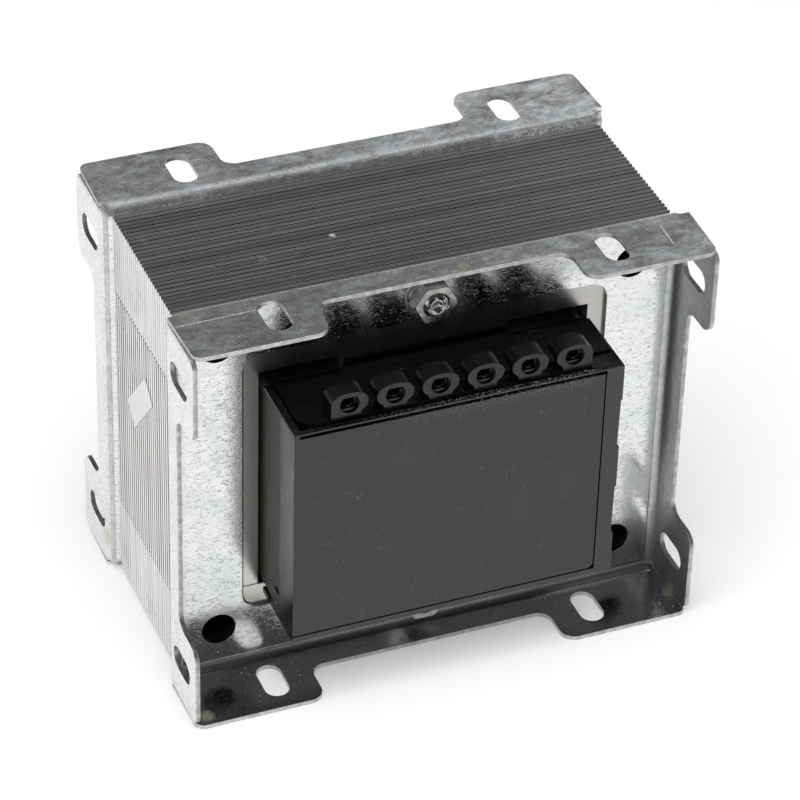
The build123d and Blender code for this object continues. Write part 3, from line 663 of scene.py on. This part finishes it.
def sheet_stack(kind):
    verts, faces, indices = [], [], []
    for index in range(SHEETS):
        y0 = -CORE_DEPTH / 2 + index * SHEET_PITCH + SHEET_GAP / 2
        y1 = y0 + SHEET_PITCH - SHEET_GAP
        turned_over = index % 2
        side = -1 if turned_over else 1
        across = SIDE_INSET[kind][turned_over]
        end = END_INSET[kind] + rng.random() * INSET_PLAY
        left = -CORE_WIDTH / 2 + across + rng.random() * SIDE_PLAY
        right = CORE_WIDTH / 2 - across - rng.random() * SIDE_PLAY
        y1 -= TURNED_THINNER if turned_over else 0.0
        shape = sheet_outline(kind, left, right, end, JOINT_GAP if turned_over else JOINT_GAP / 2)
        outline = [(x, MID_Z + side * z) for x, z in shape]
        up = side if kind == "e" else -side
        holes = [circle(x, MID_Z + up * HOLE_Z, HOLE_RADIUS - HOLE_PLAY, 28) for x in (-HOLE_X, HOLE_X)]
        holes.append(circle(0.0, MID_Z + up * BOLT_Z, BOLT_HOLE_RADIUS, 20))
        add_plate(verts, faces, indices, outline, holes, y0, y1)
    return verts, faces, indices


edge_paint, face_paint = sheet_edge_paint(), sheet_face_paint()
for kind, node in (("e", "e_laminations"), ("i", "i_laminations")):
    verts, faces, indices = sheet_stack(kind)
    piece(f"{kind}_sheets", verts, faces, (edge_paint, face_paint), indices, replaces=(node,))


# ---------------------------------------------------------------------------
# Clamp bolts, nuts and lock washers
# ---------------------------------------------------------------------------
def hex_rings(height, turn):
    """Rings of (angle, radius, height) for a hexagon whose outer corners are cut by a cone."""
    rim, slope = HEX_FLATS / 2 * 1.09, math.tan(math.radians(32))
    rings = [[], [], [], []]
    for k in range(HEX_STEPS):
        angle = 2 * math.pi * k / HEX_STEPS
        reach = HEX_FLATS / 2 / math.cos(angle % (math.pi / 3) - math.pi / 6)
        rings[0].append((angle + turn, min(rim, reach - 0.07), height))
        rings[1].append((angle + turn, reach, height - 0.06 - max(0.0, reach - rim) * slope))
        rings[2].append((angle + turn, reach, 0.12))
        rings[3].append((angle + turn, reach - 0.12, 0.0))
    return rings


def thread_radius(angle, travel, left):
    """The helical thread's radius at an angle, travel from the bolt's end and left before the plain shank."""
    phase = (travel / THREAD_PITCH - angle / (2 * math.pi)) % 1.0
    tooth = min(1.0, max(0.0, (0.5 - abs(phase - 0.5)) * 2.6 - 0.12))
    radius = BOLT_RADIUS - FIT - THREAD_DEPTH * (1.0 - tooth) * min(1.0, left / 1.5)
    return min(radius, 2.1 + travel)


def fastener(node, verts, faces):
    piece(node + "_detail", verts, faces, (zinc,), smooth_angle=28, replaces=(node,))


def bolt_piece(level, node):
    """Hexagon head at the rear, plain shank and a real helical thread at the front end."""
    middle, end_y, thread_start = MID_Z + level * BOLT_Z, -BOLT_END, -PLATE_FACE + THREAD_INSIDE
    verts, faces = [], []
    around = [2 * math.pi * k / SHANK_STEPS for k in range(SHANK_STEPS)]
    for radius, sink in END_RINGS:
        for angle in around:
            uneven = rng.uniform(-0.02, 0.06) * min(1.0, radius)
            verts.append(polar(radius, angle, end_y + sink + uneven, middle))
    rows = int((thread_start - end_y) / (THREAD_PITCH / 8))
    for row in range(rows + 1):
        y = end_y + (thread_start - end_y) * row / rows
        verts.extend(polar(thread_radius(angle, y - end_y, thread_start - y), angle, y, middle) for angle in around)
    last = len(verts)
    verts.extend(polar(BOLT_RADIUS - FIT, angle, WASHER_SEAT, middle) for angle in around)
    stitch(faces, 0, len(verts) // SHANK_STEPS, SHANK_STEPS)
    faces += [tuple(range(SHANK_STEPS)), tuple(reversed(range(last, last + SHANK_STEPS)))]
    first = len(verts)
    for row in reversed(hex_rings(HEAD_HEIGHT, 0.0)):
        verts.extend(polar(radius, angle, WASHER_SEAT + height, middle) for angle, radius, height in row)
    stitch(faces, first, 4, HEX_STEPS)
    faces += [tuple(range(start, start + HEX_STEPS)) for start in (first, first + 3 * HEX_STEPS)]
    fastener(node, verts, faces)


def nut_piece(level, node):
    """Hexagon nut, its outer corners cut by a cone and its bore countersunk."""
    middle, turn, bore = MID_Z + level * BOLT_Z, math.radians(NUT_TURN), BOLT_RADIUS + FIT
    rings, faces = hex_rings(NUT_HEIGHT, turn), []
    for radius, height in ((bore + 0.35, 0.0), (bore, 0.35), (bore, NUT_HEIGHT - 0.45), (bore + 0.38, NUT_HEIGHT)):
        rings.append([(2 * math.pi * k / HEX_STEPS + turn, radius, height) for k in range(HEX_STEPS)])
    verts = [polar(radius, angle, -NUT_SEAT - height, middle) for row in rings for angle, radius, height in row]
    stitch(faces, 0, len(rings), HEX_STEPS, closed=True)
    fastener(node, verts, faces)


def spring_washer(level, node):
    """Square-section ring, split and very slightly sprung."""
    middle, inner, outer = MID_Z + level * BOLT_Z, BOLT_RADIUS + 0.15, LOCK_RADIUS
    section = ((inner, 0.0), (outer - 0.06, 0.0), (outer, 0.06), (outer, 0.30), (outer - 0.06, 0.36), (inner, 0.36))
    verts, faces = [], []
    for k in range(LOCK_STEPS + 1):
        share = k / LOCK_STEPS
        angle = math.pi / 2 + LOCK_SPLIT + (2 * math.pi - 2 * LOCK_SPLIT) * share
        for radius, height in section:
            verts.append(polar(radius, angle, -(WASHER_SEAT + LOCK_SPRING * share + height), middle))
    sides, last = len(section), len(verts)
    stitch(faces, 0, LOCK_STEPS + 1, sides)
    faces += [tuple(range(sides)), tuple(reversed(range(last - sides, last)))]
    fastener(node, verts, faces)


zinc = fastener_paint()
for level, word in ((1, "upper"), (-1, "lower")):
    bolt_piece(level, f"{word}_clamp_bolt")
    nut_piece(level, f"{word}_clamp_nut")
    spring_washer(level, f"{word}_lock_washer")
    dress(f"{word}_front_washer", zinc, bevel=0.1)
    dress(f"{word}_rear_washer", zinc, bevel=0.1)


# ---------------------------------------------------------------------------
# Terminal block
# ---------------------------------------------------------------------------
def add_loop(verts, points):
    verts.extend(points)
    return list(range(len(verts) - len(points), len(verts)))


def add_cap(verts, faces, *loops):
    """A flat face within the first loop, with the other loops as holes in it."""
    numbers = [i for loop in loops for i in loop]
    for triangle in tessellate_polygon([[Vector(verts[i]) for i in loop] for loop in loops]):
        faces.append(tuple(numbers[i] for i in triangle))


def add_wall(faces, a, b):
    for k in range(len(a)):
        n = (k + 1) % len(a)
        faces.append((a[k], a[n], b[n], b[k]))


def ring_outline(place, index):
    """An oval drawn anticlockwise from the neck's right side, and the neck down into the plate."""
    first, last = index == 0, index == len(TERMINALS) - 1
    points = []
    for k in range(RING_STEPS):
        angle = -math.pi / 2 + 2 * math.pi * (k + 0.5) / RING_STEPS
        c, s = math.cos(angle), math.sin(angle)
        x = RING_HALF_WIDTH * math.copysign(abs(c) ** (2 / RING_POWER), c)
        z = RING_HALF_HEIGHT * math.copysign(abs(s) ** (2 / RING_POWER), s)
        # The outermost rings run straight down on their outer side
        straight = (first and x < 0) or (last and x > 0)
        if z > 0 or (abs(x) > NECK_HALF and not straight):
            points.append((place + x, RING_Z + z))
    left, right = RING_HALF_WIDTH if first else NECK_HALF, RING_HALF_WIDTH if last else NECK_HALF
    return points + [(place - left, NECK_BOTTOM), (place + right, NECK_BOTTOM)]


def socket_outline(place):
    """A rounded rectangle, from its right side round anticlockwise."""
    points = []
    for x, z, start in ((1, 1, 0), (-1, 1, 90), (-1, -1, 180), (1, -1, 270)):
        for step in range(5):
            angle = math.radians(start + 22.5 * step)
            points.append((place + x * SOCKET_X + SOCKET_ROUND * math.cos(angle),
                           TERMINAL_Z + z * SOCKET_Z + SOCKET_ROUND * math.sin(angle)))
    return points


def terminal_block():
    verts, faces = [], []
    # The plate, with its front left corner rounded and a step at its right
    plan = [(BLOCK_LEFT, BLOCK_REAR)]
    for step in range(9):
        angle = math.radians(180 + 90 * step / 8)
        plan.append((BLOCK_LEFT + BLOCK_ROUND * (1 + math.cos(angle)),
                     PLATE_FRONT + BLOCK_ROUND * (1 + math.sin(angle))))
    side = TERMINALS[-1] + 3.95
    plan += [(side, PLATE_FRONT), (side, BLOCK_STEP), (BLOCK_RIGHT, BLOCK_STEP), (BLOCK_RIGHT, BLOCK_REAR)]
    low, top = (add_loop(verts, [(x, y, z) for x, y in plan]) for z in (BLOCK_LOW, BLOCK_TOP))
    add_wall(faces, low, top)
    add_cap(verts, faces, low)
    add_cap(verts, faces, top)
    # Each ring: its sleeve, and within it the funnel and the socket
    for index, place in enumerate(TERMINALS):
        outline, socket = ring_outline(place, index), socket_outline(place)
        funnel = circle(place, TERMINAL_Z, FUNNEL_RADIUS, 36)
        front, back, mouth, throat, door, floor_loop = (
            add_loop(verts, [(x, BLOCK_FRONT + depth, z) for x, z in points])
            for points, depth in ((outline, 0.0), (outline, SLEEVE), (funnel, 0.0), (funnel, FUNNEL_DEPTH),
                                  (socket, FUNNEL_DEPTH), (socket, SOCKET_DEPTH)))
        add_cap(verts, faces, front, mouth)
        add_wall(faces, front, back)
        add_cap(verts, faces, back)
        add_wall(faces, mouth, throat)
        add_cap(verts, faces, throat, door)
        add_wall(faces, door, floor_loop)
        add_cap(verts, faces, floor_loop)
    return verts, faces


# ---------------------------------------------------------------------------
# Frames, shroud, board and the rest of the CAD nodes
# ---------------------------------------------------------------------------
YELLOW, OLIVE, GREY, STRAW = (0.50, 0.52, 0.22), (0.42, 0.44, 0.30), (0.35, 0.37, 0.38), (0.66, 0.66, 0.55)
front_zinc = galvanised_paint(
    "galvanised_front",
    haze=0.19,
    stains=(
        ((5.1, -24.4, 94.0), 2.6, OLIVE, 0.75),
        ((-52.5, -21.2, 94.0), 3.6, OLIVE, 0.6),
        ((-50.0, -22.0, 94.0), 3.6, STRAW, 0.4),
        ((-43.5, -22.0, 94.0), 3.6, STRAW, 0.35),
        ((-52.8, -33.9, 1.2), 2.2, YELLOW, 0.8),
        ((54.6, -29.5, 2.2), 2.2, YELLOW, 0.6),
        ((40.0, -24.0, 94.0), 7.0, GREY, 0.35),
    ),
    scratches=(
        ((-55.6, -25.3, 94.0), (-38.7, -25.0, 94.0), 0.16),
        ((48.4, -24.1, 94.0), (48.1, -31.7, 94.0), 0.22),
    ),
)
rear_zinc = galvanised_paint(
    "galvanised_rear",
    haze=0.30,
    stains=(
        ((-56.0, 22.0, 8.0), 3.4, YELLOW, 0.5),
        ((-20.0, 27.0, 94.0), 9.0, GREY, 0.4),
        ((30.0, 25.0, 94.0), 8.0, GREY, 0.3),
    ),
    scratches=(((-40.0, 29.0, 94.0), (-31.0, 30.5, 94.0), 0.14),),
)
dress("front_frame", front_zinc, bevel=0.2, segments=3, angle=50)
dress("rear_frame", rear_zinc, bevel=0.2, segments=3, angle=50)

shroud_black = plastic_paint("shroud_black", (0.0022, 0.0022, 0.0024), 0.24, top_dust=(69.5, 71.2))
cover_black = plastic_paint(
    "cover_black", (0.0026, 0.0026, 0.0032), 0.26, ior=1.585,
    smudges=(((14.1, -37.8, 42.1), 4.0), ((25.2, -37.8, 45.0), 3.4), ((-12.0, -37.8, 60.0), 4.5)),
    top_dust=(67.0, 70.2),
)
cover_shader = cover_black.node_tree.nodes["Principled BSDF"]
cover_shader.inputs["Specular Tint"].default_value = (0.98, 0.94, 1.0, 1.0)
block_black = plastic_paint("block_black", (0.0020, 0.0021, 0.0018), 0.24, ior=1.5)
bobbin_black = plastic_paint("bobbin_black", (0.012, 0.012, 0.012), 0.42)
dress("terminal_shroud", shroud_black, bevel=0.15)
dress("front_cover", cover_black, bevel=0.18)
dress("bobbin", bobbin_black, bevel=0.15)
verts, faces = terminal_block()
block = piece(
    "terminal_block_detail", verts, faces, (block_black,), smooth_angle=28,
    replaces=("terminal_block",),
)
soften(block, 0.14)

dress("insulating_board", board_paint(), bevel=0.1)
copper, tape = copper_paint(), tape_paint()
for name in ("primary_winding", "secondary_winding"):
    dress(name, copper, bevel=0.3)
for name in ("interwinding_insulation", "outer_tape"):
    dress(name, tape, bevel=0.1)
dress("winding_leads", copper, bevel=0.08)
dress("terminal_contacts", contact_paint(), bevel=0.05)
dress("side_label", label_paint(), bevel=0.03)

# ---------------------------------------------------------------------------
# Floor, light and camera
# ---------------------------------------------------------------------------
FLOOR_HALF, FLOOR_Z, FLOOR_GLOW = 2600.0, -0.02, 0.30


def floor_material():
    """White floor, pale to the camera and in reflections, which keeps the object's soft shadow."""
    p = Paint("studio_floor", roughness=0.9)
    p.shader.inputs["Base Color"].default_value = (0.82, 0.82, 0.82, 1.0)
    p.shader.inputs["Specular IOR Level"].default_value = 0.0
    glow, path, both = p.node("Emission"), p.node("LightPath"), p.node("AddShader")
    seen = p.any_of(*(path.outputs[f"Is {kind} Ray"] for kind in ("Camera", "Glossy", "Transmission")))
    p.wire(glow.inputs["Strength"], p.times(seen, FLOOR_GLOW))
    p.wire(both.inputs[0], p.shader.outputs[0])
    p.wire(both.inputs[1], glow.outputs[0])
    p.wire(p.tree.nodes["Material Output"].inputs["Surface"], both.outputs[0])
    return p.material


corners = [(x * FLOOR_HALF, y * FLOOR_HALF, FLOOR_Z) for x, y in ((-1, -1), (1, -1), (1, 1), (-1, 1))]
floor_mesh = bpy.data.meshes.new("floor")
floor_mesh.from_pydata([Vector(v) * MM for v in corners], [], [(0, 1, 2, 3)])
floor = bpy.data.objects.new("floor", floor_mesh)
bpy.context.collection.objects.link(floor)
floor_mesh.materials.append(floor_material())

# The world is bright up to just above the horizon, dark higher up its sides and softly lit overhead
world = bpy.data.worlds.new("studio")
bpy.context.scene.world = world
world.use_nodes = True
sky = world.node_tree
where = sky.nodes.new("ShaderNodeTexCoord")
split = sky.nodes.new("ShaderNodeSeparateXYZ")
fade = sky.nodes.new("ShaderNodeValToRGB")
fade.color_ramp.interpolation = "B_SPLINE"
stops = fade.color_ramp.elements
stops[0].position, stops[0].color = 0.0, (1.0, 1.0, 1.0, 1.0)
stops[1].position, stops[1].color = 1.0, (0.60, 0.60, 0.60, 1.0)
for position, shade in ((0.04, 0.85), (0.16, 0.20), (0.34, 0.05), (0.74, 0.05), (0.88, 0.34)):
    stops.new(position).color = (shade, shade, shade * 1.02, 1.0)
background = sky.nodes["Background"]
background.inputs["Strength"].default_value = 1.0
sky.links.new(where.outputs["Generated"], split.inputs[0])
sky.links.new(split.outputs["Z"], fade.inputs["Fac"])
sky.links.new(fade.outputs["Color"], background.inputs["Color"])

LIGHTS_AIM = (0.0, 0.0, 0.05)


def softbox(name, place, width, height, watts):
    """A rectangular lamp that isn't seen in reflections. Its place and sides are in metres."""
    data = bpy.data.lights.new(name, "AREA")
    data.shape = "RECTANGLE"
    data.size, data.size_y = width, height
    data.energy = watts
    lamp = bpy.data.objects.new(name, data)
    bpy.context.collection.objects.link(lamp)
    lamp.location = place
    lamp.visible_glossy = False
    lamp.rotation_euler = (Vector(LIGHTS_AIM) - Vector(place)).to_track_quat("-Z", "Y").to_euler()


softbox("overhead", (-0.25, -0.35, 1.5), 1.3, 1.3, 20.0)
softbox("left_side", (-1.5, -0.4, 0.75), 0.9, 0.8, 5.0)
softbox("right_front", (1.2, -1.1, 0.7), 0.7, 0.7, 2.5)

# The camera stands where the photograph was taken: angles in degrees, then its distance and its offsets to
# the right and upwards in millimetres, then its focal length in pixels of a picture 800 pixels wide
AZIMUTH, ELEVATION, ROLL = -22.741, 36.079, 1.774
DISTANCE, OFFSET_RIGHT, OFFSET_UP = 786.379, 2.376, -1.174
FOCAL_PIXELS, PICTURE_PIXELS, SENSOR = 3734.457, 800, 36.0
azimuth, elevation, roll = (math.radians(a) for a in (AZIMUTH, ELEVATION, ROLL))
back = Vector((math.sin(azimuth) * math.cos(elevation), -math.cos(azimuth) * math.cos(elevation), math.sin(elevation)))
right = Vector((math.cos(azimuth), math.sin(azimuth), 0.0))
up = back.cross(right)
right, up = right * math.cos(roll) + up * math.sin(roll), up * math.cos(roll) - right * math.sin(roll)
eye = (back * DISTANCE + right * OFFSET_RIGHT + up * OFFSET_UP) * MM + Vector((0.0, 0.0, MID_Z * MM))
camera_data = bpy.data.cameras.new("camera")
camera_data.sensor_width = SENSOR
camera_data.lens = FOCAL_PIXELS / PICTURE_PIXELS * SENSOR
camera_data.clip_start, camera_data.clip_end = 0.05, 20.0
camera = bpy.data.objects.new("camera", camera_data)
bpy.context.collection.objects.link(camera)
camera.matrix_world = Matrix.Translation(eye) @ Matrix((right, up, back)).transposed().to_4x4()
bpy.context.scene.camera = camera
bpy.context.scene.view_settings.view_transform = "Standard"
